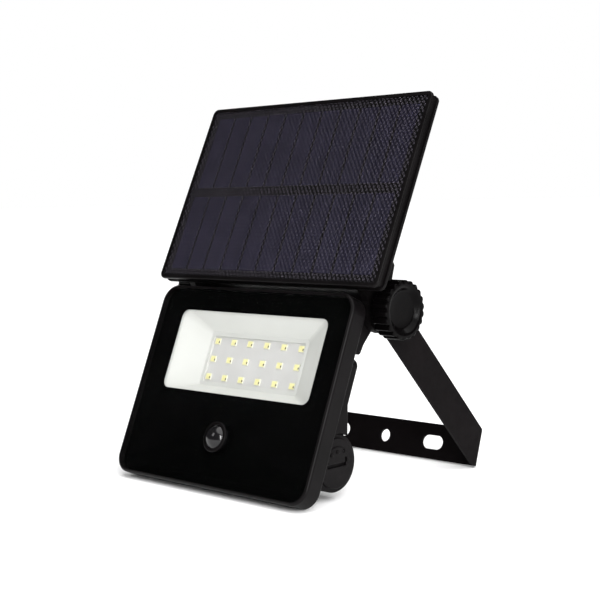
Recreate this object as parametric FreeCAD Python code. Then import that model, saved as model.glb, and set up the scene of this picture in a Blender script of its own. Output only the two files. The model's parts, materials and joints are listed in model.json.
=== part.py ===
import FreeCAD, Part

import math
import os

# Solar flood light: a flat lamp with a battery tube across its back, a solar panel and a
# U-shaped bracket that share one hinge axis, and a clamping knob on each side of it.
#
# Row frame, in mm: X runs left to right along the hinge, -Y is the side that shines, +Z is up.
# At rest the light stands like an easel, on the lower back edge of the lamp and the lower edge
# of the strap.  The origin is the middle of its footprint, on the surface it stands on.
#
# Each unit is drawn in a frame of its own and then turned about the hinge axis:
#   lamp     x across, y behind the front face, z up the face from its lower edge
#   panel    x across, y behind the front face, z up the face from its lower edge
#   bracket  x across, y behind the wall side of the strap (the arms run to -y), z up the strap

Vec = FreeCAD.Vector

# ---- rest pose
LAMP_LEAN = 22.7
PANEL_LEAN = 25.4

# ---- lamp front
LAMP_W = 163.0
LAMP_H = 121.7
LAMP_CORNER = 11.0
MID_Z = LAMP_H / 2
BEZEL_DEPTH = 11.3
BEZEL_LIP = 1.8
BEZEL_EDGE = 1.7
BEZEL_WALL = 9.5
GLASS_SET = 0.6
GLASS_T = 3.0
PRINT_T = 0.15
SEAT_DEPTH = 4.6
WINDOW_W = 125.0
WINDOW_H = 50.6
WINDOW_Z = 81.5
WINDOW_CORNER = 5.0

# ---- light engine
FUNNEL_GAP = 1.0
FLOOR_W = 83.4
FLOOR_H = 34.0
FLOOR_Z = 79.5
FLOOR_DEPTH = 15.2
LIP_W = 2.4
LIP_T = 1.2
BOARD_T = 1.4
PLATE_T = 2.0
LED_ROWS = 3
LED_COLUMNS = 6
LED_PITCH_X = 14.4
LED_PITCH_Z = 11.3
LED_W = 4.6
LED_H = 4.0
LED_T = 0.8
PLATE_SCREWS = [(-47.5, 59.5), (47.5, 59.5), (-47.5, 99.5), (47.5, 99.5)]
CONTROL_POSTS = [(-28.0, 79.5), (28.0, 79.5)]
SENSOR_POSTS = [(-23.5, 22.5), (23.5, 22.5), (-23.5, 38.0), (23.5, 38.0)]

# ---- motion sensor
PIR_Z = 30.0
PIR_RING_R = 9.1
PIR_LENS_R = 7.2
PIR_RISE = 4.0
SENSOR_R = 4.6

# ---- rear housing
SHELL_W = 148.0
SHELL_Z = (5.0, 116.7)
SHELL_DEPTH = 17.0
SHELL_WALL = 2.0
STEP_Z = (50.0, 89.8)
FOOT_Z = 36.0
FOOT_X = 62.0
FOOT_TOP = 63.0
FOOT_DEPTH = 30.5
BOX_W = 112.0
BOX_Z = (50.0, 106.0)
BOX_DEPTH = 24.4
RIB_W = 1.6
RIB_RISE = 1.0
RIB_Z = (57.0, 99.0)
RIB_PITCH = 12.0
TUBE_R = 16.7
TUBE_WALL = 2.4
TUBE_HALF = 70.0
TUBE_Y = 28.1
TUBE_Z = 30.4
CAP_T = 2.6
CAP_ROUND = 0.8
CAP_FACE_R = 14.4
SHOULDER = 1.5
SKIRT_L = 3.5
CELL_R = 13.1
CELL_L = 65.2
CELL_X = -68.4
TAB_R = 9.6
TAB_T = 0.8
PIP_R = 1.2
PIPS = [(-5.0, 5.4), (0.0, 6.6), (4.8, 6.6)]
GROOVE_DEPTH = 1.9

SCREW_R = 1.4
SCREW_BOSS_R = 3.3
SCREW_HEAD_R = 2.8
CHARGE_X = 65.2

# ---- hinge
HINGE_Y = 32.1
HINGE_Z = 123.0
LUG_X = (62.0, 69.6)
LUG_R = 13.7
LUG_FOOT_Z = 93.2
LUG_FOOT_DEPTH = 27.5
EAR_X = (70.1, 75.0)
EAR_R = 14.2
BOLT_R = 3.0
FIT = 0.05
BOLT_HEAD_R = 5.2
BOLT_HEAD_T = 3.6
BOLT_END_X = 87.5
BARREL_R = 12.6

# ---- solar panel
PANEL_W = 186.0
PANEL_H = 121.3
PANEL_CORNER = 4.0
PANEL_AXIS_Y = 31.0
PANEL_AXIS_Z = -1.9
PANEL_MID = PANEL_H / 2
FRAME_T = 4.0
FLANGE_T = 2.0
PARTING = 2.0
BACK_T = 2.4
GROOVE_INSET = 1.6
BACK_Y = FRAME_T + PARTING
PANEL_T = BACK_Y + BACK_T
PANEL_LIP = 2.6
COVER_SET = 0.5
COVER_T = 0.8
CELL_COLUMNS = 11
CELL_PITCH = 15.7
CELL_GAP = 2.0
CELL_H = 50.0
CELL_ROW_GAP = 6.6
SILICON_T = 0.3
BACKING_T = 1.2
STACK_Y = (COVER_SET, COVER_SET + COVER_T, COVER_SET + COVER_T + SILICON_T)
PANEL_SCREWS = [(s * 82.0, z) for s in (-1, 1) for z in (10.0, 60.6, 111.3)]
EAR_SCREWS = [(66.5, 12.0), (66.5, 22.0)]
EAR_TOP_Z = 28.5
EAR_BACK_Y = 29.3
FIELD_W = 150.0
FIELD_Z = (33.0, 113.0)
FIELD_RIB_X = (34.0, 55.0)

# ---- bracket
BRACKET_W = 155.2
STRIP_T = 1.8
STRAP_H = 22.0
ARM_W = 22.0
BEND_R = 3.4
AXIS_TO_WALL = 113.2
AXIS_ABOVE_FOOT = 74.0
HOLE_R = 4.25
SLOT_X = 40.0
SLOT_L = 17.0
SLOT_H = 9.0

# ---- knobs
KNOB_R = 17.2
KNOB_T = 11.3
KNOB_X = 79.7
KNOB_BOSS = 0.7
KNOB_FLUTES = 22
FLUTE_R = 1.9
FLUTE_TURN = -4.1
DISH_R = 13.4
DISH_DEPTH = 2.6
INSERT_R = 4.6
WASHER_R = 9.0
WASHER_T = 1.2


def box(x0, x1, y0, y1, z0, z1):
    return Part.makeBox(x1 - x0, y1 - y0, z1 - z0, Vec(x0, y0, z0))


def cyl_x(radius, x0, x1, y, z):
    return Part.makeCylinder(radius, x1 - x0, Vec(x0, y, z), Vec(1, 0, 0))


def cyl_y(radius, y0, y1, x, z):
    return Part.makeCylinder(radius, y1 - y0, Vec(x, y0, z), Vec(0, 1, 0))


def mirrored(shape):
    return shape.mirror(Vec(0, 0, 0), Vec(1, 0, 0))


def both_sides(shape):
    return Part.makeCompound([shape, mirrored(shape)])


def rounded_outline(width, height, radius, y, z_mid):
    """Closed wire of a rounded rectangle that faces Y, centred on x = 0."""
    w = width / 2
    h = height / 2
    edges = []
    for sx, sz, turn in ((1, -1, -90), (1, 1, 0), (-1, 1, 90), (-1, -1, 180)):
        centre = Vec(sx * (w - radius), y, z_mid + sz * (h - radius))
        points = []
        for step in (0, 45, 90):
            a = math.radians(turn + step)
            points.append(centre + Vec(radius * math.cos(a), 0, radius * math.sin(a)))
        edges.append(Part.Arc(*points).toShape())
    ring = []
    for i, arc in enumerate(edges):
        ring.append(arc)
        start = arc.Vertexes[-1].Point
        end = edges[(i + 1) % 4].Vertexes[0].Point
        ring.append(Part.LineSegment(start, end).toShape())
    return Part.Wire(Part.__sortEdges__(ring))


def rounded_plate(width, height, radius, y0, y1, z_mid):
    face = Part.Face(rounded_outline(width, height, radius, y0, z_mid))
    return face.extrude(Vec(0, y1 - y0, 0))


def softened(shape, radius, wanted):
    """Fillet the edges whose middle point passes the test."""
    edges = [e for e in shape.Edges if wanted(e, e.CenterOfMass)]
    return shape.makeFillet(radius, edges)


def profile_x(points, x0, x1):
    """Prism of a closed (y, z) polygon between two x planes."""
    corners = [Vec(x0, y, z) for y, z in points]
    face = Part.Face(Part.makePolygon(corners + corners[:1]))
    return face.extrude(Vec(x1 - x0, 0, 0))


def boss(radius, y0, y1, places):
    return [cyl_y(radius, y0, y1, x, z) for x, z in places]


# ---------------------------------------------------------------- lamp front

def front_bezel():
    body = rounded_plate(LAMP_W, LAMP_H, LAMP_CORNER, 0, BEZEL_DEPTH, MID_Z)
    body = softened(body, BEZEL_EDGE, lambda e, c: c.y < 0.01)
    body = softened(body, 0.8, lambda e, c: abs(c.y - BEZEL_DEPTH) < 0.01)
    seat = rounded_plate(LAMP_W - 2 * BEZEL_LIP, LAMP_H - 2 * BEZEL_LIP,
                         LAMP_CORNER - BEZEL_LIP, -1, SEAT_DEPTH, MID_Z)
    well = rounded_plate(LAMP_W - 2 * BEZEL_WALL, LAMP_H - 2 * BEZEL_WALL, 4.5,
                         -1, BEZEL_DEPTH + 1, MID_Z)
    body = body.cut(seat).cut(well)
    body = body.fuse(boss(SCREW_BOSS_R, SEAT_DEPTH + 0.4, BEZEL_DEPTH, screw_places()))
    for x, z in screw_places():
        body = body.cut(cyl_y(SCREW_R + FIT, SEAT_DEPTH + 1.4, BEZEL_DEPTH + 1, x, z))
    return body


def glass_sheet(y0, y1, side_gap):
    lip = BEZEL_LIP + side_gap
    sheet = rounded_plate(LAMP_W - 2 * lip, LAMP_H - 2 * lip, LAMP_CORNER - lip, y0, y1, MID_Z)
    return sheet.cut(cyl_y(PIR_LENS_R + 0.1, y0 - 1, y1 + 1, 0, PIR_Z))


def front_glass():
    return glass_sheet(GLASS_SET, GLASS_SET + GLASS_T, 0.3)


def glass_print():
    y0 = GLASS_SET + GLASS_T
    sheet = glass_sheet(y0, y0 + PRINT_T, 0.5)
    window = rounded_plate(WINDOW_W, WINDOW_H, WINDOW_CORNER, y0 - 1, y0 + 1, WINDOW_Z)
    return sheet.cut(window)


def glass_gasket():
    y0 = GLASS_SET + GLASS_T + PRINT_T
    ring = rounded_plate(LAMP_W - 8.4, LAMP_H - 8.4, 6.8, y0, SEAT_DEPTH, MID_Z)
    hole = rounded_plate(LAMP_W - 14.0, LAMP_H - 14.0, 4.2, y0 - 1, SEAT_DEPTH + 1, MID_Z)
    return ring.cut(hole)


# ---------------------------------------------------------------- light engine

def funnel(grow, y0, y1):
    """Sloped walls from the window outline down to the floor outline, grown sideways."""
    wider = 2 * (FUNNEL_GAP + grow)
    mouth = rounded_outline(WINDOW_W + wider, WINDOW_H + wider, WINDOW_CORNER + grow, y0, WINDOW_Z)
    floor = rounded_outline(FLOOR_W + 2 * grow, FLOOR_H + 2 * grow, 2.0 + grow, y1, FLOOR_Z)
    return Part.makeLoft([mouth, floor], True, True)


def reflector():
    """White funnel that ends in a flat lip lying on the board around the packages."""
    y0 = SEAT_DEPTH
    y_lip = FLOOR_DEPTH - LIP_T
    outer = funnel(1.2, y0, y_lip)
    lip = rounded_plate(FLOOR_W + 2.4, FLOOR_H + 2.4, 3.2, y_lip, FLOOR_DEPTH, FLOOR_Z)
    flange = rounded_plate(WINDOW_W + 9, WINDOW_H + 9, 7.0, y0, y0 + 1.2, WINDOW_Z)
    inner = funnel(0.0, y0, y_lip)
    opening = rounded_plate(FLOOR_W - 2 * LIP_W, FLOOR_H - 2 * LIP_W, 1.0,
                            y_lip - 1, FLOOR_DEPTH + 1, FLOOR_Z)
    return flange.fuse([outer, lip]).cut([inner, opening]).removeSplitter()


def led_board():
    return rounded_plate(FLOOR_W + 6, FLOOR_H + 6, 2.0, FLOOR_DEPTH, FLOOR_DEPTH + BOARD_T, FLOOR_Z)


def led_packages():
    chips = []
    for row in range(LED_ROWS):
        for column in range(LED_COLUMNS):
            x = (column - (LED_COLUMNS - 1) / 2) * LED_PITCH_X
            z = FLOOR_Z + (row - (LED_ROWS - 1) / 2) * LED_PITCH_Z
            chips.append(box(x - LED_W / 2, x + LED_W / 2, FLOOR_DEPTH - LED_T, FLOOR_DEPTH,
                             z - LED_H / 2, z + LED_H / 2))
    return Part.makeCompound(chips)


def heat_plate():
    y0 = FLOOR_DEPTH + BOARD_T
    plate = rounded_plate(FLOOR_W + 20, FLOOR_H + 14, 3.0, y0, y0 + PLATE_T, FLOOR_Z)
    for x, z in PLATE_SCREWS:
        plate = plate.cut(cyl_y(1.1, y0 - 1, y0 + PLATE_T + 1, x, z))
    return plate


def control_board():
    board = rounded_plate(66, 30, 1.5, 19.6, 21.0, FLOOR_Z)
    chip = box(-10, 2, 18.9, 19.6, 74, 84)
    coil = cyl_y(3.2, 18.7, 19.6, 16, 80)
    return board.fuse([chip, coil])


# ---------------------------------------------------------------- motion sensor

def pir_ring():
    face = GLASS_SET
    ring = cyl_y(PIR_RING_R, face - 1.3, face, 0, PIR_Z)
    ring = softened(ring, 0.7, lambda e, c: abs(c.y - (face - 1.3)) < 0.01)
    return ring.cut(cyl_y(PIR_LENS_R + 0.1, face - 2, face + 1, 0, PIR_Z))


def pir_lens():
    """Domed window with a thin wall and a skirt that passes through the glass."""
    rim = GLASS_SET - 0.8
    top = rim - PIR_RISE

    def dome(radius, tip):
        rise = rim - tip
        ball_r = (radius * radius + rise * rise) / (2 * rise)
        ball = Part.makeSphere(ball_r, Vec(0, tip + ball_r, PIR_Z))
        cap = ball.common(cyl_y(radius, tip - 1, rim, 0, PIR_Z))
        return cap.fuse(cyl_y(radius, rim, 7.0, 0, PIR_Z))

    outer = dome(PIR_LENS_R, top)
    inner = dome(PIR_LENS_R - 1.0, top + 1.0)
    return outer.cut(inner.fuse(cyl_y(PIR_LENS_R - 1.0, 6.0, 8.0, 0, PIR_Z)))


def pir_sensor():
    can = cyl_y(SENSOR_R, 4.2, 8.0, 0, PIR_Z)
    return can.fuse(cyl_y(SENSOR_R + 0.5, 7.3, 8.0, 0, PIR_Z))


def sensor_board():
    return rounded_plate(54, 22, 1.5, 8.0, 9.4, PIR_Z)


# ---------------------------------------------------------------- rear housing

def shell_prism(width, z0, z1, radius, y0, y1):
    return rounded_plate(width, z1 - z0, radius, y0, y1, (z0 + z1) / 2)


def hinge_lug():
    """Rib behind the lamp that carries the barrel, with a hollow curve under the barrel."""
    x0, x1 = LUG_X
    y_back = SHELL_DEPTH - 1
    low = HINGE_Z - LUG_R
    rib = profile_x([(y_back, LUG_FOOT_Z), (LUG_FOOT_DEPTH, LUG_FOOT_Z), (LUG_FOOT_DEPTH + 1, 100),
                     (HINGE_Y, low), (HINGE_Y, HINGE_Z), (y_back, SHELL_Z[1] - 2)], x0, x1)
    rib = softened(rib, 2.2, lambda e, c: abs(c.y - LUG_FOOT_DEPTH) < 0.3
                   and abs(c.z - LUG_FOOT_Z) < 0.3 and e.Length > 5)
    barrel = cyl_x(LUG_R, x0, x1, HINGE_Y, HINGE_Z)
    bore = cyl_x(BOLT_R + FIT, x0 - 1, x1 + 1, HINGE_Y, HINGE_Z)
    return rib.fuse(barrel).cut(bore)


def cooling_ribs():
    """Low upright ribs over the back of the deep box."""
    return [box(i * RIB_PITCH - RIB_W / 2, i * RIB_PITCH + RIB_W / 2,
                BOX_DEPTH - 0.5, BOX_DEPTH + RIB_RISE, *RIB_Z) for i in range(-4, 5)]


def gusset():
    """Web at one end of the tube that carries the back of the shell down onto the tube."""
    web = profile_x([(SHELL_DEPTH - 1, FOOT_TOP), (BOX_DEPTH, FOOT_TOP), (FOOT_DEPTH, TUBE_Z + TUBE_R - 0.6),
                     (FOOT_DEPTH - 3, FOOT_Z), (SHELL_DEPTH - 1, FOOT_Z)], FOOT_X, SHELL_W / 2)
    return softened(web, 1.6, lambda e, c: abs(c.x - SHELL_W / 2) < 0.01 and c.y > BOX_DEPTH + 1
                    and c.z > TUBE_Z + TUBE_R)


def rear_housing():
    w = SHELL_WALL
    shell = shell_prism(SHELL_W, *SHELL_Z, 8.0, BEZEL_DEPTH, SHELL_DEPTH)
    step = shell_prism(SHELL_W, *STEP_Z, 5.0, SHELL_DEPTH - 1, BOX_DEPTH)
    deep = shell_prism(BOX_W, *BOX_Z, 5.0, SHELL_DEPTH - 1, BOX_DEPTH)
    outer = shell.fuse([step, deep]).removeSplitter()
    outer = softened(outer, 1.8, lambda e, c: abs(c.y - BOX_DEPTH) < 0.01)
    foot = gusset()
    outer = outer.fuse([foot, mirrored(foot)])
    tongue = shell_prism(LAMP_W - 2 * BEZEL_WALL - 0.6, BEZEL_WALL + 0.3,
                         LAMP_H - BEZEL_WALL - 0.3, 4.2, 6.4, BEZEL_DEPTH)
    outer = outer.fuse(tongue)
    inner_w = 2 * TUBE_HALF - 4.8
    hollow = shell_prism(inner_w, BEZEL_WALL + 0.3 + w, LAMP_H - BEZEL_WALL - 0.3 - w, 3.0,
                         5.0, SHELL_DEPTH - w)
    hollow = hollow.fuse([
        shell_prism(SHELL_W - 2 * w, STEP_Z[0] + w, STEP_Z[1] - w, 3.5,
                    SHELL_DEPTH - w - 1, BOX_DEPTH - w),
        shell_prism(BOX_W - 2 * w, BOX_Z[0] + w, BOX_Z[1] - w, 3.5,
                    SHELL_DEPTH - w - 1, BOX_DEPTH - w)])
    body = outer.cut(hollow)
    tube = cyl_x(TUBE_R, -TUBE_HALF, TUBE_HALF, TUBE_Y, TUBE_Z)
    bore = cyl_x(TUBE_R - TUBE_WALL, -TUBE_HALF - 1, TUBE_HALF + 1, TUBE_Y, TUBE_Z)
    saddle = box(-TUBE_HALF + 6, TUBE_HALF - 6, SHELL_DEPTH - 1, TUBE_Y,
                 TUBE_Z - TUBE_R + 3, TUBE_Z + TUBE_R - 3)
    scoop = cyl_x(TUBE_R + 0.3, TUBE_HALF, SHELL_W, TUBE_Y, TUBE_Z)
    body = body.cut(both_sides(scoop))
    body = body.fuse([tube, saddle, hinge_lug(), mirrored(hinge_lug())] + cooling_ribs())
    body = body.fuse(boss(2.8, FLOOR_DEPTH + BOARD_T + PLATE_T, BOX_DEPTH - 1, PLATE_SCREWS))
    body = body.fuse(boss(2.4, 21.0, BOX_DEPTH - 1, CONTROL_POSTS))
    body = body.fuse(boss(2.0, 9.4, 15.5, SENSOR_POSTS))
    body = body.cut(bore)
    for x, z in screw_places():
        body = body.cut(cyl_y(SCREW_BOSS_R + 0.4, 6, BEZEL_DEPTH, x, z))
        body = body.cut(cyl_y(SCREW_R + FIT, BEZEL_DEPTH - 1, SHELL_DEPTH + 1, x, z))
        body = body.cut(cyl_y(SCREW_HEAD_R + 0.3, SHELL_DEPTH - 1.0, SHELL_DEPTH + 1, x, z))
    for x, z in PLATE_SCREWS:
        body = body.cut(cyl_y(1.0, 16, BOX_DEPTH - 2.2, x, z))
    return body


def screw_places():
    """Four screws that hold the shell against the bezel, in x and z."""
    x = SHELL_W / 2 - 3.6
    return [(s * x, z) for s in (-1, 1) for z in (SHELL_Z[0] + 4.2, SHELL_Z[1] - 4.2)]


def housing_screws():
    screws = []
    for x, z in screw_places():
        head = cyl_y(SCREW_HEAD_R, SHELL_DEPTH - 1.0, SHELL_DEPTH + 0.8, x, z)
        shank = cyl_y(SCREW_R, BEZEL_DEPTH - 5.0, SHELL_DEPTH - 1.0, x, z)
        drive = box(x - 1.6, x + 1.6, SHELL_DEPTH, SHELL_DEPTH + 1, z - 0.35, z + 0.35)
        drive = drive.fuse(box(x - 0.35, x + 0.35, SHELL_DEPTH, SHELL_DEPTH + 1, z - 1.6, z + 1.6))
        screws.append(head.fuse(shank).cut(drive))
    return Part.makeCompound(screws)


def plate_screws():
    screws = []
    y_plate = FLOOR_DEPTH + BOARD_T
    for x, z in PLATE_SCREWS:
        head = cyl_y(2.2, y_plate - 1.4, y_plate, x, z)
        shank = cyl_y(0.95, y_plate, BOX_DEPTH - 3.4, x, z)
        screws.append(head.fuse(shank))
    return Part.makeCompound(screws)


# ---------------------------------------------------------------- battery tube

def battery_cells():
    cells = []
    for i in range(2):
        x0 = CELL_X + i * (CELL_L + 0.1)
        can = cyl_x(CELL_R, x0, x0 + CELL_L - 1.6, TUBE_Y, TUBE_Z)
        can = softened(can, 1.0, lambda e, c: e.Curve.TypeId == "Part::GeomCircle")
        button = cyl_x(CELL_R * 0.36, x0 + CELL_L - 1.6, x0 + CELL_L, TUBE_Y, TUBE_Z)
        cells.append(can.fuse(button))
    return Part.makeCompound(cells)


def battery_contacts():
    """Dished spring plate at each end of the pair of cells."""
    left = cyl_x(11.0, CELL_X - 1.5, CELL_X - 1.0, TUBE_Y, TUBE_Z)
    left = left.fuse(cyl_x(5.0, CELL_X - 1.0, CELL_X, TUBE_Y, TUBE_Z))
    end = CELL_X + 2 * CELL_L + 0.1
    right = cyl_x(11.0, end + 0.1, end + 0.8, TUBE_Y, TUBE_Z)
    return Part.makeCompound([left, right])


def tube_end(x_seat, skirt):
    """Raised disc on a lower flange that closes the tube's right end, with its skirt in the bore."""
    x_flange = x_seat + CAP_T - SHOULDER
    flange = cyl_x(TUBE_R, x_seat, x_flange, TUBE_Y, TUBE_Z)
    flange = softened(flange, CAP_ROUND, lambda e, c: abs(c.x - x_flange) < 0.01)
    face = cyl_x(CAP_FACE_R, x_seat, x_seat + CAP_T, TUBE_Y, TUBE_Z)
    face = softened(face, CAP_ROUND, lambda e, c: abs(c.x - x_seat - CAP_T) < 0.01)
    r = TUBE_R - TUBE_WALL - 0.05
    ring = cyl_x(r, x_seat - skirt, x_seat, TUBE_Y, TUBE_Z)
    ring = ring.cut(cyl_x(r - 1.5, x_seat - skirt - 1, x_seat, TUBE_Y, TUBE_Z))
    return flange.fuse([face, ring])


def end_cap_left():
    cap = tube_end(TUBE_HALF, 1.2)
    slot = box(TUBE_HALF + CAP_T - 1.0, TUBE_HALF + CAP_T + 1, TUBE_Y - 7, TUBE_Y + 7,
               TUBE_Z - 1.0, TUBE_Z + 1.0)
    return mirrored(cap.cut(slot))


def charging_port():
    """Round carrier at the right end of the tube with the socket standing on it."""
    carrier = cyl_x(TUBE_R - TUBE_WALL - 0.1, CHARGE_X - 2.0, CHARGE_X, TUBE_Y, TUBE_Z)
    shell = box(CHARGE_X, CHARGE_X + 4.5, TUBE_Y - 4.8, TUBE_Y + 4.8, TUBE_Z - 2.2, TUBE_Z + 2.2)
    mouth = box(CHARGE_X + 0.8, CHARGE_X + 6, TUBE_Y - 4.1, TUBE_Y + 4.1, TUBE_Z - 1.5, TUBE_Z + 1.5)
    blade = box(CHARGE_X + 0.8, CHARGE_X + 3.8, TUBE_Y - 3.0, TUBE_Y + 3.0, TUBE_Z - 0.4, TUBE_Z + 0.4)
    return carrier.fuse(shell).cut(mouth).fuse(blade)


def port_cover():
    """Rubber cover, level at rest: a low half-moon with three grip pips above a hooked groove."""
    cover = tube_end(TUBE_HALF, SKIRT_L)
    x_face = TUBE_HALF + CAP_T
    tab = cyl_x(TAB_R, x_face - 0.5, x_face + TAB_T, TUBE_Y, TUBE_Z)
    tab = tab.cut(box(x_face - 1, x_face + 5, TUBE_Y - 20, TUBE_Y + 20, TUBE_Z - 20, TUBE_Z))
    tab = softened(tab, 0.6, lambda e, c: abs(c.x - x_face - TAB_T) < 0.01)
    pips = [Part.makeSphere(PIP_R, Vec(x_face + TAB_T, TUBE_Y + y, TUBE_Z + z)) for y, z in PIPS]
    x_cut = x_face - GROOVE_DEPTH
    groove = box(x_cut, x_face + 1, TUBE_Y - 7.6, TUBE_Y + 7.6, TUBE_Z - 2.2, TUBE_Z)
    hook = box(x_cut, x_face + 1, TUBE_Y + 5.8, TUBE_Y + 7.6, TUBE_Z - 1, TUBE_Z + 3.0)
    cover = cover.fuse([tab] + pips).cut([groove, hook])
    cover.rotate(Vec(0, TUBE_Y, TUBE_Z), Vec(1, 0, 0), LAMP_LEAN)
    return cover


# ---------------------------------------------------------------- hinge hardware

def hinge_bolts():
    head = cyl_x(BOLT_HEAD_R, LUG_X[0] - BOLT_HEAD_T, LUG_X[0], HINGE_Y, HINGE_Z)
    hexagon = []
    for i in range(6):
        a = math.radians(60 * i)
        hexagon.append((HINGE_Y + BOLT_HEAD_R * math.cos(a), HINGE_Z + BOLT_HEAD_R * math.sin(a)))
    head = head.common(profile_x(hexagon, LUG_X[0] - BOLT_HEAD_T, LUG_X[0]))
    shank = cyl_x(BOLT_R, LUG_X[0], BOLT_END_X, HINGE_Y, HINGE_Z)
    shank = softened(shank, 0.5, lambda e, c: abs(c.x - BOLT_END_X) < 0.01)
    return both_sides(head.fuse(shank))


def hinge_barrel():
    """Tube between the lugs, around the bolt heads, that the panel's leads run through."""
    half = LUG_X[0] - 0.1
    return cyl_x(BARREL_R, -half, half, HINGE_Y, HINGE_Z).cut(
        cyl_x(BARREL_R - 1.6, -half - 1, half + 1, HINGE_Y, HINGE_Z))


# ---------------------------------------------------------------- solar panel

def panel_sheet(shrink, y0, y1):
    radius = max(PANEL_CORNER - shrink, 1.0)
    return rounded_plate(PANEL_W - 2 * shrink, PANEL_H - 2 * shrink, radius, y0, y1, PANEL_MID)


def panel_frame():
    flange = panel_sheet(0, 0, FLANGE_T)
    flange = softened(flange, 0.9, lambda e, c: c.y < 0.01)
    frame = flange.fuse(panel_sheet(GROOVE_INSET, FLANGE_T, FRAME_T))
    frame = frame.cut(panel_sheet(PANEL_LIP, -1, STACK_Y[2] + BACKING_T))
    return frame.cut(panel_sheet(PANEL_LIP + 6, -1, FRAME_T + 1))


def laminate_cover():
    return panel_sheet(PANEL_LIP + 0.15, STACK_Y[0], STACK_Y[1])


def backing_board():
    return panel_sheet(PANEL_LIP + 0.15, STACK_Y[2], STACK_Y[2] + BACKING_T)


def solar_cells(row):
    z_mid = PANEL_MID + row * (CELL_H + CELL_ROW_GAP) / 2
    cells = []
    for column in range(CELL_COLUMNS):
        x = (column - (CELL_COLUMNS - 1) / 2) * CELL_PITCH
        half = (CELL_PITCH - CELL_GAP) / 2
        cells.append(box(x - half, x + half, STACK_Y[1], STACK_Y[2],
                         z_mid - CELL_H / 2, z_mid + CELL_H / 2))
    return Part.makeCompound(cells)


def stiffening_ribs():
    """Raised border and four upright ribs on the panel's back."""
    height = FIELD_Z[1] - FIELD_Z[0]
    middle = (FIELD_Z[0] + FIELD_Z[1]) / 2
    y0 = PANEL_T - 0.5
    y1 = PANEL_T + RIB_RISE
    border = rounded_plate(FIELD_W, height, 6.0, y0, y1, middle)
    border = border.cut(rounded_plate(FIELD_W - 2 * RIB_W, height - 2 * RIB_W, 6.0 - RIB_W,
                                      y0 - 1, y1 + 1, middle))
    ribs = [box(s * x - RIB_W / 2, s * x + RIB_W / 2, y0, y1, FIELD_Z[0] + 0.5, FIELD_Z[1] - 0.5)
            for s in (-1, 1) for x in FIELD_RIB_X]
    return [border] + ribs


def panel_back():
    outer = panel_sheet(0.3, BACK_Y, PANEL_T)
    outer = softened(outer, 1.0, lambda e, c: abs(c.y - PANEL_T) < 0.01)
    back = outer.fuse(panel_sheet(GROOVE_INSET, FRAME_T, BACK_Y))
    back = back.cut(panel_sheet(4.0, FRAME_T - 1, PANEL_T - 1.6))
    back = back.fuse(boss(3.2, FRAME_T, PANEL_T - 1, PANEL_SCREWS) + stiffening_ribs())
    for x, z in PANEL_SCREWS:
        back = back.cut(cyl_y(1.25, FRAME_T - 1, PANEL_T + 1, x, z))
        back = back.cut(cyl_y(2.6, PANEL_T - 1.2, PANEL_T + 1, x, z))
    for x, z in EAR_SCREWS:
        for side in (-1, 1):
            back = back.cut(cyl_y(1.25, FRAME_T, PANEL_T + 1, side * x, z))
    return back


def panel_screws():
    screws = []
    for x, z in PANEL_SCREWS:
        head = cyl_y(2.4, PANEL_T - 1.2, PANEL_T + 0.3, x, z)
        head = head.cut(cyl_y(1.0, PANEL_T - 0.5, PANEL_T + 1, x, z))
        screws.append(head.fuse(cyl_y(1.2, FRAME_T, PANEL_T - 1.2, x, z)))
    return Part.makeCompound(screws)


def hinge_ear():
    """Side plate from the panel's back to the barrel, with a screwed foot towards the middle."""
    x0, x1 = EAR_X
    y_a = PANEL_AXIS_Y
    z_a = PANEL_AXIS_Z
    plate = profile_x([(PANEL_T, 3.0), (PANEL_T, EAR_TOP_Z), (EAR_BACK_Y - 5.0, EAR_TOP_Z),
                       (EAR_BACK_Y, EAR_TOP_Z - 4.0), (EAR_BACK_Y + 2.0, z_a + 13.0),
                       (y_a + 4.0, z_a), (y_a - EAR_R + 0.3, z_a - 1.0)], x0, x1)
    foot = box(x0 - 7.0, x0 + 1, PANEL_T, PANEL_T + 2.0, 6.5, EAR_TOP_Z - 1.5)
    ear = plate.fuse([cyl_x(EAR_R, x0, x1, y_a, z_a), foot])
    ear = ear.cut(cyl_x(BOLT_R + FIT, x0 - 1, x1 + 1, y_a, z_a))
    for x, z in EAR_SCREWS:
        ear = ear.cut(cyl_y(1.25, PANEL_T - 1, PANEL_T + 3, x, z))
    return ear


def ear_screws():
    screws = []
    for x, z in EAR_SCREWS:
        head = cyl_y(2.3, PANEL_T + 2.0, PANEL_T + 3.4, x, z)
        head = head.cut(cyl_y(1.0, PANEL_T + 2.8, PANEL_T + 4, x, z))
        screws.append(head.fuse(cyl_y(1.2, FRAME_T + 0.5, PANEL_T + 2.0, x, z)))
    return both_sides(Part.makeCompound(screws))


def lead_cover():
    """Shallow box over the solder joints in the middle of the panel's back."""
    lid = rounded_plate(44, 30, 4.0, PANEL_T, PANEL_T + 5.0, 62.0)
    lid = softened(lid, 1.2, lambda e, c: abs(c.y - PANEL_T - 5.0) < 0.01)
    return lid.cut(rounded_plate(40, 26, 2.4, PANEL_T - 1, PANEL_T + 3.4, 62.0))


# ---------------------------------------------------------------- bracket

def arm_rake():
    """Angle of the arms above the strap's normal, so that their upper edge ends at the strap's."""
    rise = AXIS_ABOVE_FOOT - STRAP_H
    reach = math.hypot(AXIS_TO_WALL, rise)
    return math.atan2(rise, AXIS_TO_WALL) + math.asin(ARM_W / 2 / reach)


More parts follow.
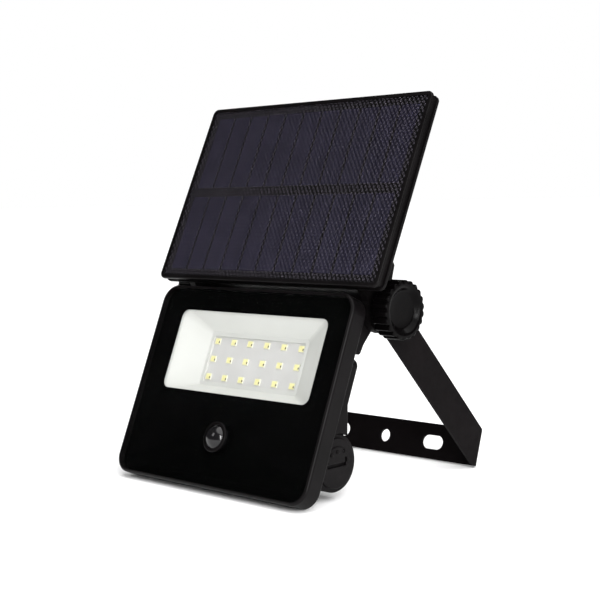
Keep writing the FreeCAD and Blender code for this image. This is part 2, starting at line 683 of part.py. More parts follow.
def side_profile():
    """Outline of one arm and the strap's end, seen along the hinge."""
    rake = arm_rake()
    along = Vec(0, -math.cos(rake), math.sin(rake))
    across = Vec(0, math.sin(rake), math.cos(rake))
    axis = Vec(0, -AXIS_TO_WALL, AXIS_ABOVE_FOOT)
    top = axis + across * (ARM_W / 2)
    low = axis - across * (ARM_W / 2)
    tip = axis + along * (ARM_W / 2)
    heel = low - along * (low.z / along.z)
    corners = [low, heel, Vec(0, 0, 0), Vec(0, 0, STRAP_H), top]
    edges = [Part.LineSegment(a, b).toShape() for a, b in zip(corners, corners[1:])]
    edges.append(Part.Arc(top, tip, low).toShape())
    return Part.Face(Part.Wire(edges))


def bent_strip():
    """U of the strip's thickness, bent in plan and much taller than the strip."""
    half = BRACKET_W / 2
    front = -(AXIS_TO_WALL + ARM_W)
    height = AXIS_ABOVE_FOOT + ARM_W

    def block(inset, radius, y_back):
        blank = box(-half + inset, half - inset, front, y_back, 0, height)
        return softened(blank, radius, lambda e, c: abs(c.y - y_back) < 0.01
                        and abs(c.z - height / 2) < 0.01)

    outer = block(0, BEND_R, 0)
    inner = block(STRIP_T, BEND_R - STRIP_T, -STRIP_T)
    inner = inner.fuse(box(-half + STRIP_T, half - STRIP_T, front - 5, front + 1, 0, height))
    return outer.cut(inner)


def bracket():
    prism = side_profile().extrude(Vec(BRACKET_W + 2, 0, 0))
    prism.translate(Vec(-BRACKET_W / 2 - 1, 0, 0))
    strip = bent_strip().common(prism)
    strip = strip.cut(cyl_y(HOLE_R, -STRIP_T - 1, 1, 0, STRAP_H / 2))
    slot = rounded_plate(SLOT_L, SLOT_H, SLOT_H / 2 - 0.01, -STRIP_T - 1, 1, STRAP_H / 2)
    for side in (-1, 1):
        cut = slot.copy()
        cut.translate(Vec(side * SLOT_X, 0, 0))
        strip = strip.cut(cut)
    return strip.cut(cyl_x(BOLT_R + 0.1, -BRACKET_W, BRACKET_W, -AXIS_TO_WALL, AXIS_ABOVE_FOOT))


# ---------------------------------------------------------------- knobs, drawn about the hinge axis

def washer():
    x0 = BRACKET_W / 2 + 0.1
    return cyl_x(WASHER_R, x0, x0 + WASHER_T, 0, 0).cut(cyl_x(BOLT_R + FIT, x0 - 1, x0 + 2, 0, 0))


def insert_hexagon(radius):
    return [(radius * math.cos(math.radians(60 * i)), radius * math.sin(math.radians(60 * i)))
            for i in range(6)]


def knob_insert():
    body = profile_x(insert_hexagon(INSERT_R), KNOB_X - KNOB_BOSS + 0.2, KNOB_X + 6.5)
    return body.cut(cyl_x(BOLT_R + FIT, KNOB_X - 2, KNOB_X + 8, 0, 0))


def knob():
    """Fluted grip with a dished face and a short boss that bears on the washer."""
    face_x = KNOB_X + KNOB_T
    grip = cyl_x(KNOB_R, KNOB_X, face_x, 0, 0)
    for i in range(KNOB_FLUTES):
        a = 2 * math.pi * i / KNOB_FLUTES + math.radians(FLUTE_TURN)
        r = KNOB_R + FLUTE_R * 0.45
        grip = grip.cut(cyl_x(FLUTE_R, KNOB_X - 1, face_x + 1, r * math.cos(a), r * math.sin(a)))
    dish = cyl_x(DISH_R, face_x - DISH_DEPTH, face_x + 1, 0, 0)
    dish = softened(dish, 1.8, lambda e, c: abs(c.x - face_x + DISH_DEPTH) < 0.01)
    body = grip.cut(dish).fuse(cyl_x(8.6, KNOB_X - KNOB_BOSS, KNOB_X, 0, 0))
    body = body.cut(profile_x(insert_hexagon(INSERT_R), KNOB_X - 2, KNOB_X + 6.5))
    return body.cut(cyl_x(BOLT_R + 0.2, KNOB_X, BOLT_END_X + 0.5, 0, 0))


# ---------------------------------------------------------------- assembly

def foot_drop():
    """Height of the hinge axis above the surface, with the lamp standing on its back edge."""
    lean = math.radians(LAMP_LEAN)
    heel_round = 0.8
    reach_z = HINGE_Z - heel_round
    reach_y = HINGE_Y - BEZEL_DEPTH + heel_round
    return reach_z * math.cos(lean) - reach_y * math.sin(lean) + heel_round


def bracket_lean():
    """Lean of the strap, top to the back, that sets its lower back edge on the surface."""
    reach = math.hypot(AXIS_TO_WALL, AXIS_ABOVE_FOOT)
    below_level = math.asin(foot_drop() / reach)
    return math.degrees(below_level - math.atan2(AXIS_ABOVE_FOOT, AXIS_TO_WALL))


def front_reach():
    """How far the lamp's lower front edge lies in front of the hinge axis."""
    lean = math.radians(LAMP_LEAN)
    at_edge = Vec(0, BEZEL_EDGE - HINGE_Y, BEZEL_EDGE - HINGE_Z)
    return -(at_edge.y * math.cos(lean) + at_edge.z * math.sin(lean)) + BEZEL_EDGE


def back_reach():
    """How far the strap's upper back edge lies behind the hinge axis."""
    lean = math.radians(bracket_lean())
    top = STRAP_H - AXIS_ABOVE_FOOT
    return AXIS_TO_WALL * math.cos(lean) + top * math.sin(lean)


AXIS_Y = (front_reach() - back_reach()) / 2
AXIS_Z = foot_drop()


def stand(shape, lean, pivot_y, pivot_z):
    """Turn a unit's shape back by the lean and set its pivot on the hinge axis."""
    placed = shape.copy()
    placed.translate(Vec(0, -pivot_y, -pivot_z))
    placed.rotate(Vec(0, 0, 0), Vec(1, 0, 0), -lean)
    placed.translate(Vec(0, AXIS_Y, AXIS_Z))
    return placed


def lamp_unit():
    return {
        "front_bezel": front_bezel(),
        "front_glass": front_glass(),
        "glass_print": glass_print(),
        "glass_gasket": glass_gasket(),
        "reflector": reflector(),
        "led_board": led_board(),
        "led_packages": led_packages(),
        "heat_plate": heat_plate(),
        "plate_screws": plate_screws(),
        "control_board": control_board(),
        "pir_ring": pir_ring(),
        "pir_lens": pir_lens(),
        "pir_sensor": pir_sensor(),
        "sensor_board": sensor_board(),
        "rear_housing": rear_housing(),
        "housing_screws": housing_screws(),
        "battery_cells": battery_cells(),
        "battery_contacts": battery_contacts(),
        "end_cap_left": end_cap_left(),
        "charging_port": charging_port(),
        "port_cover": port_cover(),
        "hinge_bolts": hinge_bolts(),
        "hinge_barrel": hinge_barrel(),
    }


def panel_unit():
    return {
        "panel_frame": panel_frame(),
        "laminate_cover": laminate_cover(),
        "solar_cells_upper": solar_cells(1),
        "solar_cells_lower": solar_cells(-1),
        "backing_board": backing_board(),
        "panel_back": panel_back(),
        "panel_screws": panel_screws(),
        "lead_cover": lead_cover(),
        "hinge_ear_right": hinge_ear(),
        "hinge_ear_left": mirrored(hinge_ear()),
        "ear_screws": ear_screws(),
    }


def knob_unit():
    return {
        "washer_right": washer(),
        "washer_left": mirrored(washer()),
        "knob_right": knob(),
        "knob_left": mirrored(knob()),
        "knob_insert_right": knob_insert(),
        "knob_insert_left": mirrored(knob_insert()),
    }


def all_nodes():
    nodes = {}
    for name, shape in lamp_unit().items():
        nodes[name] = stand(shape, LAMP_LEAN, HINGE_Y, HINGE_Z)
    for name, shape in panel_unit().items():
        nodes[name] = stand(shape, PANEL_LEAN, PANEL_AXIS_Y, PANEL_AXIS_Z)
    for name, shape in knob_unit().items():
        nodes[name] = stand(shape, 0, 0, 0)
    nodes["bracket"] = stand(bracket(), bracket_lean(), -AXIS_TO_WALL, AXIS_ABOVE_FOOT)
    return nodes


def main():
    os.makedirs("parts", exist_ok=True)
    for name, shape in all_nodes().items():
        if not shape.isValid():
            raise ValueError(name + " is not a valid shape")
        shape.exportStep("parts/" + name + ".step")


if __name__ == "__main__":
    main()
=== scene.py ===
import json
import math

import bmesh
import bpy
from mathutils import Matrix, Vector


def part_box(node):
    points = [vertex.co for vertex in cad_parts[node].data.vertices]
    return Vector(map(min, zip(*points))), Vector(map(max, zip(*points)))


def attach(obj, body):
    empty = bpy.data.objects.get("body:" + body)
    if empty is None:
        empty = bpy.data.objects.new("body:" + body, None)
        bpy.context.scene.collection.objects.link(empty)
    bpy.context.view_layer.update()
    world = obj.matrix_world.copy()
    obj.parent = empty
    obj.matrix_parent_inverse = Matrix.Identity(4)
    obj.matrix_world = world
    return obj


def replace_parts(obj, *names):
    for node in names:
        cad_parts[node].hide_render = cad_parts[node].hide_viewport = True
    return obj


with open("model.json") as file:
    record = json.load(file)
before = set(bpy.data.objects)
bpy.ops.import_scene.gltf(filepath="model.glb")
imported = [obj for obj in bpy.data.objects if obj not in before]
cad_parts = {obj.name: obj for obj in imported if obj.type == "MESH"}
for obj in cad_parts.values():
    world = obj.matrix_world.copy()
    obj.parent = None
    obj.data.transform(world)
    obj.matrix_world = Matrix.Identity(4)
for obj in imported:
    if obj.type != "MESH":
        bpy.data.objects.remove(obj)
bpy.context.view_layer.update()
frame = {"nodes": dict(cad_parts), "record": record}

MM = 0.001
HINGE = Vector(next(j["pos_m"] for j in frame["record"]["behaviour"]["joints"] if j["name"] == "panel_tilt"))
LAMP_LEAN = math.radians(22.7)
PANEL_LEAN = math.radians(25.4)

# ---- camera
CAMERA_AT = Vector((0.561436, -0.575513, 0.169419))
CAMERA_AZIMUTH = math.radians(44.276)
CAMERA_DOWN = math.radians(4.453)
CAMERA_ROLL = math.radians(-1.082)
CAMERA_LENS = 78.27
CAMERA_SENSOR = 36.0

# ---- where the values of a noise texture mostly lie
NOISE_LOW = 0.3
NOISE_HIGH = 0.7

# ---- LED packages, in millimetres; a diode sits that share of the width to the right of the middle
LED_ROWS = 3
LED_COLUMNS = 6
LED_PITCH = (14.4, 11.3)
LED_SIZE = (4.6, 4.0)
LED_RISE = 0.8
CORNER_STEPS = 4
DIODE_SHARE = 0.36
DIODE_DROP = 0.5

# ---- knob, in millimetres; RIM_FLUTE_SHARE is how deep the flutes already are where the rim starts
KNOB_R = 17.2
KNOB_T = 11.3
KNOB_BOSS = 0.7
KNOB_FLUTES = 22
FLUTE_TURN = math.radians(-4.1)
STEPS_PER_FLUTE = 12
FLUTE_DEPTH = 1.3
FLUTE_SHARPNESS = 1.6
RIM_ROUND = 0.9
RIM_FLUTE_SHARE = 0.45
BACK_R = 13.0
BORE_R = 3.3
BOSS_R = 8.6
BOSS_CHAMFER = 0.1
DISH_R = 14.3
DISH_FLOOR_R = 10.2
DISH_DEPTH = 2.9
DISH_STEPS = 12

# ---- studio, in metres and watts: a light is (name, place, (width, height), power)
OBJECT_MIDDLE = (0.0, 0.0, 0.11)
FLOOR_R = 40.0
FLOOR_GAP = 0.0002
SKY = ((0.3, 0.12, 0.95), 3.1, 75.0)
SOFT_LIGHTS = (
    ("right_soft", (1.25, -0.45, 0.35), (0.5, 0.9), 9.5),
    ("sensor_soft", (-0.3, -0.95, 0.72), (0.3, 0.42), 1.8),
    ("edge_right", (0.78, -0.62, 0.52), (0.12, 0.36), 4.5),
    ("knob_soft", (1.0, -0.75, 0.22), (0.1, 0.3), 2.6),
    ("edge_back", (-0.85, 0.55, 0.72), (0.6, 0.12), 2.0),
)
WORLD_GLOW = ((None, 0.06), ("Is Diffuse Ray", 0.36), ("Is Camera Ray", 1.0))


# ---------------------------------------------------------------- places

# turns the lamp from upright about its own origin to its lean at rest
LAMP_TURN = Matrix.Rotation(-LAMP_LEAN, 4, "X")


def flat_box(node, turn):
    """Low and high corners of a node's box, measured in its unit's own upright directions."""
    back = turn.inverted()
    points = [back @ v.co for v in frame["nodes"][node].data.vertices]
    low = Vector([min(p[i] for p in points) for i in range(3)])
    high = Vector([max(p[i] for p in points) for i in range(3)])
    return low, high


# ---------------------------------------------------------------- node helpers

class Surface:
    """A node material under construction: one Principled shader and short ways to feed it."""

    def __init__(self, name):
        self.material = bpy.data.materials.new(name)
        self.material.use_nodes = True
        self.tree = self.material.node_tree
        self.shader = self.tree.nodes["Principled BSDF"]
        self.place = self.node("ShaderNodeTexCoord").outputs["Object"]

    def node(self, kind, **settings):
        made = self.tree.nodes.new(kind)
        for key, value in settings.items():
            setattr(made, key, value)
        return made

    def link(self, output, target):
        self.tree.links.new(output, target)

    def fixed(self, **values):
        for key, value in values.items():
            self.shader.inputs[key.replace("_", " ")].default_value = value

    def turned(self, lean):
        """Coordinates in a leaning unit's own upright directions."""
        mapping = self.node("ShaderNodeMapping")
        mapping.inputs["Rotation"].default_value = (lean, 0.0, 0.0)
        self.link(self.place, mapping.inputs["Vector"])
        return mapping.outputs["Vector"]

    def noise(self, scale, detail=3.0, roughness=0.55, place=None):
        made = self.node("ShaderNodeTexNoise")
        made.inputs["Scale"].default_value = scale
        made.inputs["Detail"].default_value = detail
        made.inputs["Roughness"].default_value = roughness
        self.link(place or self.place, made.inputs["Vector"])
        return made.outputs["Fac"]

    def maths(self, operation, a, b=None):
        made = self.node("ShaderNodeMath", operation=operation)
        for socket, value in zip(made.inputs, (a, b)):
            if value is None:
                continue
            if isinstance(value, (int, float)):
                socket.default_value = value
            else:
                self.link(value, socket)
        return made.outputs["Value"]

    def spread(self, value, low, high):
        """Maps the range where noise mostly lies onto low to high."""
        made = self.node("ShaderNodeMapRange")
        made.inputs["From Min"].default_value = NOISE_LOW
        made.inputs["From Max"].default_value = NOISE_HIGH
        made.inputs["To Min"].default_value = low
        made.inputs["To Max"].default_value = high
        self.link(value, made.inputs["Value"])
        return made.outputs["Result"]

    def tones(self, value, dark, light):
        """Colour ramp over the same range."""
        ramp = self.node("ShaderNodeValToRGB")
        ramp.color_ramp.elements[0].position = NOISE_LOW
        ramp.color_ramp.elements[0].color = (*dark, 1.0)
        ramp.color_ramp.elements[1].position = NOISE_HIGH
        ramp.color_ramp.elements[1].color = (*light, 1.0)
        self.link(value, ramp.inputs["Fac"])
        return ramp.outputs["Color"]

    def colour(self, output):
        self.link(output, self.shader.inputs["Base Color"])

    def roughness(self, output):
        self.link(output, self.shader.inputs["Roughness"])

    def bump(self, height, distance):
        made = self.node("ShaderNodeBump")
        made.inputs["Distance"].default_value = distance
        self.link(height, made.inputs["Height"])
        self.link(made.outputs["Normal"], self.shader.inputs["Normal"])


# ---------------------------------------------------------------- materials

def moulded_plastic(name, dark, light, rough, gloss, grain_mm, depth_mm):
    """Black moulded plastic: spark-eroded grain, faint flow marks and uneven gloss."""
    s = Surface(name)
    flow = s.noise(38.0, 4.0)
    grain = s.noise(1000.0 / grain_mm, 2.0)
    s.colour(s.tones(flow, dark, light))
    s.roughness(s.spread(s.noise(160.0, 4.0), rough - 0.06, rough + 0.06))
    s.bump(grain, depth_mm * MM)
    s.fixed(IOR=1.5, Specular_IOR_Level=gloss)
    return s.material


def black_print():
    """Screen print seen through the glass: near black, smooth, with a trace of unevenness."""
    s = Surface("black_print")
    s.colour(s.tones(s.noise(55.0, 3.0), (0.0007, 0.0006, 0.0007), (0.0014, 0.0012, 0.0014)))
    s.roughness(s.spread(s.noise(90.0, 4.0), 0.1, 0.16))
    s.fixed(Specular_IOR_Level=0.06)
    return s.material


def clear_glass():
    """Front glass: nearly nothing but its gloss, with a breath of green and faint smears."""
    s = Surface("clear_glass")
    s.colour(s.tones(s.noise(30.0), (0.004, 0.006, 0.005), (0.008, 0.011, 0.009)))
    s.roughness(s.spread(s.noise(120.0, 5.0), 0.03, 0.08))
    s.fixed(Alpha=0.06, IOR=1.5)
    return s.material


def reflector_white():
    s = Surface("reflector_white")
    s.colour(s.tones(s.noise(45.0), (0.62, 0.63, 0.598), (0.655, 0.665, 0.635)))
    s.roughness(s.spread(s.noise(200.0, 4.0), 0.3, 0.42))
    s.bump(s.noise(900.0, 2.0), 0.01 * MM)
    return s.material


def board_white():
    """White solder mask, faintly mottled where copper lands lie under it."""
    s = Surface("board_white")
    upright = s.turned(LAMP_LEAN)
    lands = s.noise(95.0, 1.0, 0.4, upright)
    s.colour(s.tones(lands, (0.575, 0.575, 0.56), (0.63, 0.63, 0.615)))
    s.roughness(s.spread(s.noise(300.0), 0.4, 0.55))
    s.bump(s.noise(1500.0, 2.0), 0.01 * MM)
    return s.material


def phosphor():
    s = Surface("led_phosphor")
    s.colour(s.tones(s.noise(1800.0, 2.0), (0.78, 0.74, 0.34), (0.86, 0.83, 0.45)))
    s.roughness(s.spread(s.noise(900.0), 0.25, 0.4))
    s.bump(s.noise(2500.0), 0.01 * MM)
    # painted glow: a faint emission on the unlit phosphor
    s.fixed(Emission_Color=(1.0, 0.93, 0.45, 1.0), Emission_Strength=0.06)
    return s.material


def led_ceramic():
    s = Surface("led_ceramic")
    s.colour(s.tones(s.noise(700.0), (0.7, 0.69, 0.56), (0.78, 0.77, 0.64)))
    s.roughness(s.spread(s.noise(600.0), 0.4, 0.5))
    return s.material


def solar_silicon():
    """Silicon strips: blue-violet with fine crystal streaks along them and printed fingers across."""
    s = Surface("silicon")
    upright = s.turned(PANEL_LEAN)
    long = s.node("ShaderNodeMapping")
    long.inputs["Scale"].default_value = (1.0, 1.0, 0.12)
    s.link(upright, long.inputs["Vector"])
    streaks = s.noise(420.0, 4.0, 0.6, long.outputs["Vector"])
    patches = s.noise(60.0, 2.0, 0.5, upright)
    both = s.maths("ADD", s.maths("MULTIPLY", streaks, 0.6), s.maths("MULTIPLY", patches, 0.4))
    s.colour(s.tones(both, (0.012, 0.0105, 0.028), (0.04, 0.036, 0.072)))
    s.roughness(s.spread(streaks, 0.28, 0.45))
    s.fixed(Specular_IOR_Level=0.3)
    fingers = s.node("ShaderNodeTexWave", wave_type="BANDS", bands_direction="Z")
    fingers.inputs["Scale"].default_value = 110.0
    s.link(upright, fingers.inputs["Vector"])
    s.bump(fingers.outputs["Fac"], 0.02 * MM)
    return s.material


def textured_laminate():
    """Clear laminate over the cells, embossed with a fine diagonal lattice; its colour is a painted sheen,
    lighter along the lattice where light would catch the embossing.
    """
    s = Surface("solar_film")
    upright = s.turned(PANEL_LEAN)
    lattice = []
    for turn in (38.0, -38.0):
        mapping = s.node("ShaderNodeMapping")
        mapping.inputs["Rotation"].default_value = (0.0, math.radians(turn), 0.0)
        s.link(upright, mapping.inputs["Vector"])
        wave = s.node("ShaderNodeTexWave", wave_type="BANDS", bands_direction="X")
        wave.inputs["Scale"].default_value = 125.0
        wave.inputs["Distortion"].default_value = 0.8
        wave.inputs["Detail"].default_value = 2.0
        s.link(mapping.outputs["Vector"], wave.inputs["Vector"])
        lattice.append(wave.outputs["Fac"])
    height = s.maths("MULTIPLY", *lattice)
    # Painted sheen: the lattice height and a fine noise lighten the base colour where light would catch the
    # embossing; the noise also varies the roughness.
    sheen_and_gloss_noise = s.noise(420.0, 4.0, 0.7, upright)
    painted_lattice_sheen = s.maths("ADD", s.maths("MULTIPLY", height, 0.9), s.maths("MULTIPLY", sheen_and_gloss_noise, 0.35))
    s.colour(s.tones(painted_lattice_sheen, (0.0, 0.0, 0.0), (0.07, 0.062, 0.078)))
    s.roughness(s.spread(sheen_and_gloss_noise, 0.42, 0.55))
    s.bump(height, 0.12 * MM)
    s.fixed(Alpha=0.38, IOR=1.49, Specular_IOR_Level=0.2)
    return s.material


def backing_black():
    s = Surface("backing_black")
    s.colour(s.tones(s.noise(300.0, 4.0), (0.002, 0.0017, 0.002), (0.005, 0.0042, 0.005)))
    s.roughness(s.spread(s.noise(500.0), 0.5, 0.65))
    s.bump(s.noise(1200.0), 0.02 * MM)
    s.fixed(Specular_IOR_Level=0.2)
    return s.material


def painted_strip():
    """Matt powder coat with its fine orange peel."""
    s = Surface("painted_strip")
    s.colour(s.tones(s.noise(60.0, 5.0), (0.0022, 0.0015, 0.0017), (0.0036, 0.0026, 0.0029)))
    s.roughness(s.spread(s.noise(250.0, 4.0), 0.5, 0.62))
    s.fixed(Specular_IOR_Level=0.05)
    peel = s.maths("ADD", s.noise(900.0, 2.0), s.maths("MULTIPLY", s.noise(2600.0, 2.0), 0.5))
    s.bump(peel, 0.03 * MM)
    return s.material


def polished_black(name, rough):
    s = Surface(name)
    s.colour(s.tones(s.noise(80.0), (0.003, 0.003, 0.0035), (0.007, 0.0065, 0.0075)))
    s.roughness(s.spread(s.noise(250.0, 4.0), rough - 0.03, rough + 0.03))
    s.fixed(IOR=1.5, Specular_IOR_Level=0.4)
    return s.material


def rubber(name):
    s = Surface(name)
    s.colour(s.tones(s.noise(120.0, 4.0), (0.0024, 0.0019, 0.0021), (0.0046, 0.0038, 0.0041)))
    s.roughness(s.spread(s.noise(400.0, 3.0), 0.5, 0.62))
    s.fixed(Specular_IOR_Level=0.1)
    s.bump(s.noise(1700.0, 2.0), 0.03 * MM)
    return s.material


def metal(name, dark, light, rough):
    """Plated or milled metal with fine marks that run one way."""
    s = Surface(name)
    drawn = s.node("ShaderNodeMapping")
    drawn.inputs["Scale"].default_value = (0.1, 1.0, 1.0)
    s.link(s.place, drawn.inputs["Vector"])
    marks = s.noise(1600.0, 4.0, 0.6, drawn.outputs["Vector"])
    s.colour(s.tones(marks, dark, light))
    s.roughness(s.spread(marks, rough - 0.08, rough + 0.08))
    s.bump(marks, 0.01 * MM)
    s.fixed(Metallic=1.0)
    return s.material


def board_green():
    s = Surface("board_green")
    s.colour(s.tones(s.noise(400.0, 2.0), (0.012, 0.07, 0.03), (0.02, 0.11, 0.05)))
    s.roughness(s.spread(s.noise(300.0), 0.3, 0.45))
    return s.material


def cell_sleeve():
    s = Surface("cell_wrap")
    s.colour(s.tones(s.noise(60.0, 3.0), (0.02, 0.09, 0.25), (0.035, 0.14, 0.36)))
    s.roughness(s.spread(s.noise(500.0, 4.0), 0.25, 0.4))
    s.bump(s.noise(200.0, 3.0), 0.05 * MM)
    return s.material


def make_materials():
    bezel_dark, bezel_light = (0.0022, 0.0018, 0.0019), (0.004, 0.0033, 0.0036)
    knob_dark, knob_light = (0.0009, 0.0007, 0.0008), (0.0017, 0.0014, 0.0015)
    return {
        "bezel_black": moulded_plastic("bezel_black", bezel_dark, bezel_light, 0.36, 0.08, 0.5, 0.025),
        "housing_black": moulded_plastic("housing_black", bezel_dark, bezel_light, 0.5, 0.07, 0.65, 0.05),
        "knob_black": moulded_plastic("knob_black", knob_dark, knob_light, 0.22, 0.05, 0.5, 0.004),
        "clear_glass": clear_glass(),
        "black_print": black_print(),
        "seal_rubber": rubber("seal_rubber"),
        "reflector_white": reflector_white(),
        "board_white": board_white(),
        "led_phosphor": phosphor(),
        "plain_aluminium": metal("plain_aluminium", (0.5, 0.51, 0.52), (0.66, 0.67, 0.68), 0.4),
        "board_green": board_green(),
        "sensor_black": polished_black("sensor_black", 0.14),
        "steel": metal("steel", (0.4, 0.4, 0.41), (0.58, 0.58, 0.59), 0.35),
        "cell_wrap": cell_sleeve(),
        "brass": metal("brass", (0.45, 0.32, 0.13), (0.62, 0.46, 0.2), 0.35),
        "solar_film": textured_laminate(),
        "silicon": solar_silicon(),
        "backing_black": backing_black(),
        "painted_strip": painted_strip(),
    }


# ---------------------------------------------------------------- mesh helpers

def mesh_object(name, made, material, body, smooth=True):
    mesh = bpy.data.meshes.new(name)
    made.to_mesh(mesh)
    made.free()
    mesh.materials.append(material)
    mesh.polygons.foreach_set("use_smooth", [smooth] * len(mesh.polygons))
    made_object = bpy.data.objects.new(name, mesh)
    bpy.context.scene.collection.objects.link(made_object)
    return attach(made_object, body)


def dress_cad_nodes(materials):
    """Gives every carried-over node its slot's material."""
    slots = {part["node"]: part["material_slot"] for part in frame["record"]["subparts"]}
    for name, node in frame["nodes"].items():
        node.data.materials.clear()
        node.data.materials.append(materials[slots[name]])


# ---------------------------------------------------------------- knobs

def knob_section():
    """Half section of the grip, from the washer out.

    Each point is (along the axis, radius, share of the flutes' depth), in millimetres.
    """
    section = [(-KNOB_BOSS, BORE_R, 0.0), (-KNOB_BOSS, BOSS_R - BOSS_CHAMFER, 0.0),
               (-KNOB_BOSS + BOSS_CHAMFER, BOSS_R, 0.0), (0.0, BOSS_R, 0.0), (0.0, BACK_R, 0.0)]
    low_round = KNOB_R - RIM_ROUND
    growth = 1.0 - RIM_FLUTE_SHARE
    quarter = [math.radians(15 * step) for step in range(7)]
    for a in quarter:
        section.append((RIM_ROUND - RIM_ROUND * math.cos(a), low_round + RIM_ROUND * math.sin(a),
                        RIM_FLUTE_SHARE + growth * math.sin(a)))
    section += [(KNOB_T * 0.35, KNOB_R, 1.0), (KNOB_T * 0.65, KNOB_R, 1.0)]
    for a in quarter:
        section.append((KNOB_T - RIM_ROUND + RIM_ROUND * math.sin(a), low_round + RIM_ROUND * math.cos(a),
                        RIM_FLUTE_SHARE + growth * math.cos(a)))
    section += [(KNOB_T, DISH_R + 0.5, 0.05), (KNOB_T, DISH_R + 0.1, 0.0), (KNOB_T - 0.05, DISH_R, 0.0)]
    for step in range(1, DISH_STEPS + 1):
        share = step / DISH_STEPS
        sink = DISH_DEPTH * (0.5 - 0.5 * math.cos(math.pi * share))
        section.append((KNOB_T - sink, DISH_R - (DISH_R - DISH_FLOOR_R) * share ** 0.9, 0.0))
    section += [(KNOB_T - DISH_DEPTH - 0.1, 5.0, 0.0), (KNOB_T - DISH_DEPTH - 0.15, 0.02, 0.0)]
    return section


def knob_mesh(side, body, material):
    """Turned grip whose flutes fade out over its rounded rims."""
    node = "knob_" + side
    low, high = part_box(node)
    sign = 1.0 if side == "right" else -1.0
    face_x = high.x if sign > 0 else low.x
    root = face_x - sign * KNOB_T * MM
    made = bmesh.new()
    count = KNOB_FLUTES * STEPS_PER_FLUTE
    rings = []
    for along, radius, share in knob_section():
        ring = []
        for i in range(count):
            a = 2 * math.pi * i / count
            wave = 0.5 + 0.5 * math.cos(KNOB_FLUTES * (a - FLUTE_TURN))
            r = radius - FLUTE_DEPTH * share * wave ** FLUTE_SHARPNESS
            ring.append(made.verts.new((root + sign * along * MM, HINGE.y + r * MM * math.cos(a),
                                        HINGE.z + r * MM * math.sin(a))))
        rings.append(ring)
    for a, b in zip(rings, rings[1:]):
        for i in range(count):
            j = (i + 1) % count
            made.faces.new((a[i], a[j], b[j], b[i]))
    made.faces.new(rings[-1])
    made.faces.new(rings[0][::-1])
    bmesh.ops.recalc_face_normals(made, faces=made.faces)
    grip = mesh_object(node + "_grip", made, material, body)
    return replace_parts(grip, node)


# ---------------------------------------------------------------- LEDs

def rounded_square(half_x, half_z, radius):
    points = []
    for sx, sz, turn in ((1, 1, 0), (-1, 1, 90), (-1, -1, 180), (1, -1, 270)):
        for step in range(CORNER_STEPS + 1):
            a = math.radians(turn + 90 * step / CORNER_STEPS)
            points.append((sx * (half_x - radius) + radius * math.cos(a),
                           sz * (half_z - radius) + radius * math.sin(a)))
    return points


def add_rings(made, centre, rings, turn, close):
    """Skins rounded-square rings given as (half x, half z, radius, y), all about one centre."""
    previous = None
    for half_x, half_z, radius, y in rings:
        ring = [made.verts.new(turn @ (centre + Vector((x * MM, y * MM, z * MM))))
                for x, z in rounded_square(half_x, half_z, radius)]
        if previous:
            for i in range(len(ring)):
                j = (i + 1) % len(ring)
                made.faces.new((previous[i], previous[j], ring[j], ring[i]))
        previous = ring
    if close:
        made.faces.new(previous)


def led_places():
    """Centres of the packages on the board, in the lamp's upright directions."""
    low, high = flat_box("led_packages", LAMP_TURN)
    middle = (low + high) / 2
    for row in range(LED_ROWS):
        for column in range(LED_COLUMNS):
            x = (column - (LED_COLUMNS - 1) / 2) * LED_PITCH[0] * MM
            z = (row - (LED_ROWS - 1) / 2) * LED_PITCH[1] * MM
            yield Vector((middle.x + x, high.y, middle.z + z))


def led_frames(materials):
    """White ceramic body of each package, open where its light window sits."""
    w, h = LED_SIZE[0] / 2, LED_SIZE[1] / 2
    rings = [(w, h, 0.25, 0.0), (w, h, 0.25, -LED_RISE + 0.1), (w - 0.08, h - 0.08, 0.2, -LED_RISE),
             (w - 0.25, h - 0.22, 0.3, -LED_RISE), (w - 0.35, h - 0.3, 0.3, -LED_RISE + 0.2)]
    made = bmesh.new()
    for centre in led_places():
        add_rings(made, centre, rings, LAMP_TURN, False)
    bmesh.ops.recalc_face_normals(made, faces=made.faces)
    frames = mesh_object("led_frames", made, materials["ceramic"], "lamp", False)
    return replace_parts(frames, "led_packages")


def led_windows(materials):
    """Domed drop of phosphor in each package."""
    w, h = LED_SIZE[0] / 2, LED_SIZE[1] / 2
    rings = [(w - 0.3, h - 0.26, 0.35, -LED_RISE + 0.22), (w - 0.45, h - 0.4, 0.4, -LED_RISE + 0.06),
             (w - 0.9, h - 0.8, 0.4, -LED_RISE - 0.04)]
    made = bmesh.new()
    for centre in led_places():
        add_rings(made, centre, rings, LAMP_TURN, True)
    bmesh.ops.recalc_face_normals(made, faces=made.faces)
    return mesh_object("led_windows", made, materials["led_phosphor"], "lamp")


def led_marks(materials):
    """The small dark diode beside each package's light window, at its lower right."""
    rings = [(0.4, 0.6, 0.15, -LED_RISE + 0.2), (0.4, 0.6, 0.15, -LED_RISE - 0.05),
             (0.32, 0.52, 0.12, -LED_RISE - 0.09)]
    shift = Vector((LED_SIZE[0] * DIODE_SHARE * MM, 0.0, -DIODE_DROP * MM))
    made = bmesh.new()
    for centre in led_places():
        add_rings(made, centre + shift, rings, LAMP_TURN, True)
    bmesh.ops.recalc_face_normals(made, faces=made.faces)
    return mesh_object("led_marks", made, materials["led_mark"], "lamp", False)


# ---------------------------------------------------------------- studio

def studio_material():
    s = Surface("studio_floor")
    s.colour(s.tones(s.noise(2.0), (0.93, 0.93, 0.93), (0.96, 0.96, 0.96)))
    s.roughness(s.spread(s.noise(3.0), 0.85, 0.95))
    s.fixed(Specular_IOR_Level=0.1)
    return s.material


def make_floor():
    made = bmesh.new()
    bmesh.ops.create_circle(made, cap_ends=True, segments=96, radius=FLOOR_R)
    mesh = bpy.data.meshes.new("floor")
    made.to_mesh(mesh)
    made.free()
    mesh.materials.append(studio_material())
    floor = bpy.data.objects.new("floor", mesh)
    floor.location.z = -FLOOR_GAP
    bpy.context.scene.collection.objects.link(floor)


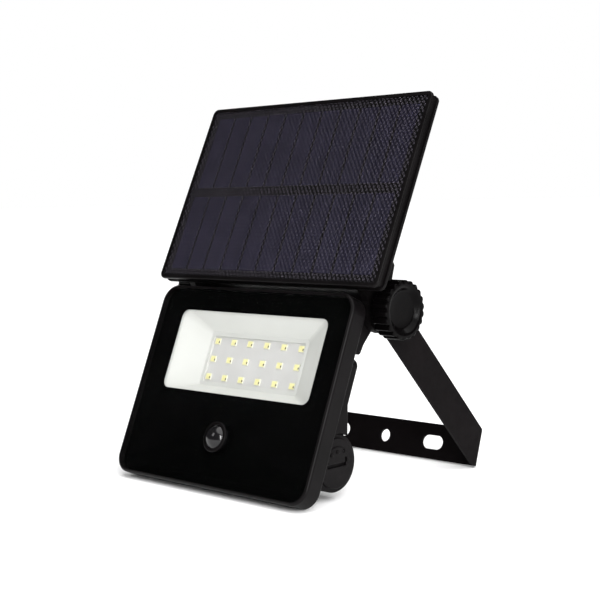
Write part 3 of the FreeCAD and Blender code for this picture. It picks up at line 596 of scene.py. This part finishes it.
def area_light(name, at, size, power):
    """Rectangular lamp that faces the middle of the object."""
    data = bpy.data.lights.new(name, "AREA")
    data.shape = "RECTANGLE"
    data.size, data.size_y = size
    data.energy = power
    lamp = bpy.data.objects.new(name, data)
    lamp.location = at
    lamp.rotation_mode = "QUATERNION"
    lamp.rotation_quaternion = (Vector(OBJECT_MIDDLE) - Vector(at)).to_track_quat("-Z", "Y")
    bpy.context.scene.collection.objects.link(lamp)


def sky_light(direction, strength, softness):
    """Even light from one side of the sky, the same all over the floor."""
    data = bpy.data.lights.new("sky_soft", "SUN")
    data.energy = strength
    data.angle = math.radians(softness)
    lamp = bpy.data.objects.new("sky_soft", data)
    lamp.rotation_mode = "QUATERNION"
    lamp.rotation_quaternion = Vector(direction).to_track_quat("Z", "Y")
    bpy.context.scene.collection.objects.link(lamp)


def make_lights():
    sky_light(*SKY)
    for name, at, size, power in SOFT_LIGHTS:
        area_light(name, at, size, power)


def make_world():
    """White where the camera sees it, an even glow on what it lights, and dim in what mirrors it."""
    world = bpy.data.worlds.new("studio")
    bpy.context.scene.world = world
    world.use_nodes = True
    tree = world.node_tree
    path = tree.nodes.new("ShaderNodeLightPath")
    shown = None
    for ray, strength in WORLD_GLOW:
        glow = tree.nodes.new("ShaderNodeBackground")
        glow.inputs["Color"].default_value = (1.0, 1.0, 1.0, 1.0)
        glow.inputs["Strength"].default_value = strength
        if ray is None:
            shown = glow.outputs["Background"]
            continue
        mix = tree.nodes.new("ShaderNodeMixShader")
        tree.links.new(path.outputs[ray], mix.inputs["Fac"])
        tree.links.new(shown, mix.inputs[1])
        tree.links.new(glow.outputs["Background"], mix.inputs[2])
        shown = mix.outputs["Shader"]
    tree.links.new(shown, tree.nodes["World Output"].inputs["Surface"])


def make_camera():
    data = bpy.data.cameras.new("camera")
    data.lens = CAMERA_LENS
    data.sensor_width = CAMERA_SENSOR
    data.clip_start = 0.01
    data.clip_end = 100.0
    camera = bpy.data.objects.new("camera", data)
    camera.location = CAMERA_AT
    level = Matrix.Rotation(CAMERA_AZIMUTH, 4, "Z") @ Matrix.Rotation(math.pi / 2 - CAMERA_DOWN, 4, "X")
    camera.rotation_mode = "QUATERNION"
    camera.rotation_quaternion = (level @ Matrix.Rotation(CAMERA_ROLL, 4, "Z")).to_quaternion()
    bpy.context.scene.collection.objects.link(camera)
    bpy.context.scene.camera = camera


# ---------------------------------------------------------------- build

def build():
    materials = make_materials()
    materials["ceramic"] = led_ceramic()
    materials["led_mark"] = polished_black("led_mark", 0.3)
    dress_cad_nodes(materials)
    for side in ("right", "left"):
        knob_mesh(side, "knob_" + side, materials["knob_black"])
    led_frames(materials)
    led_windows(materials)
    led_marks(materials)
    make_floor()
    make_lights()
    make_world()
    make_camera()
    bpy.context.scene.view_settings.view_transform = "Standard"


build()
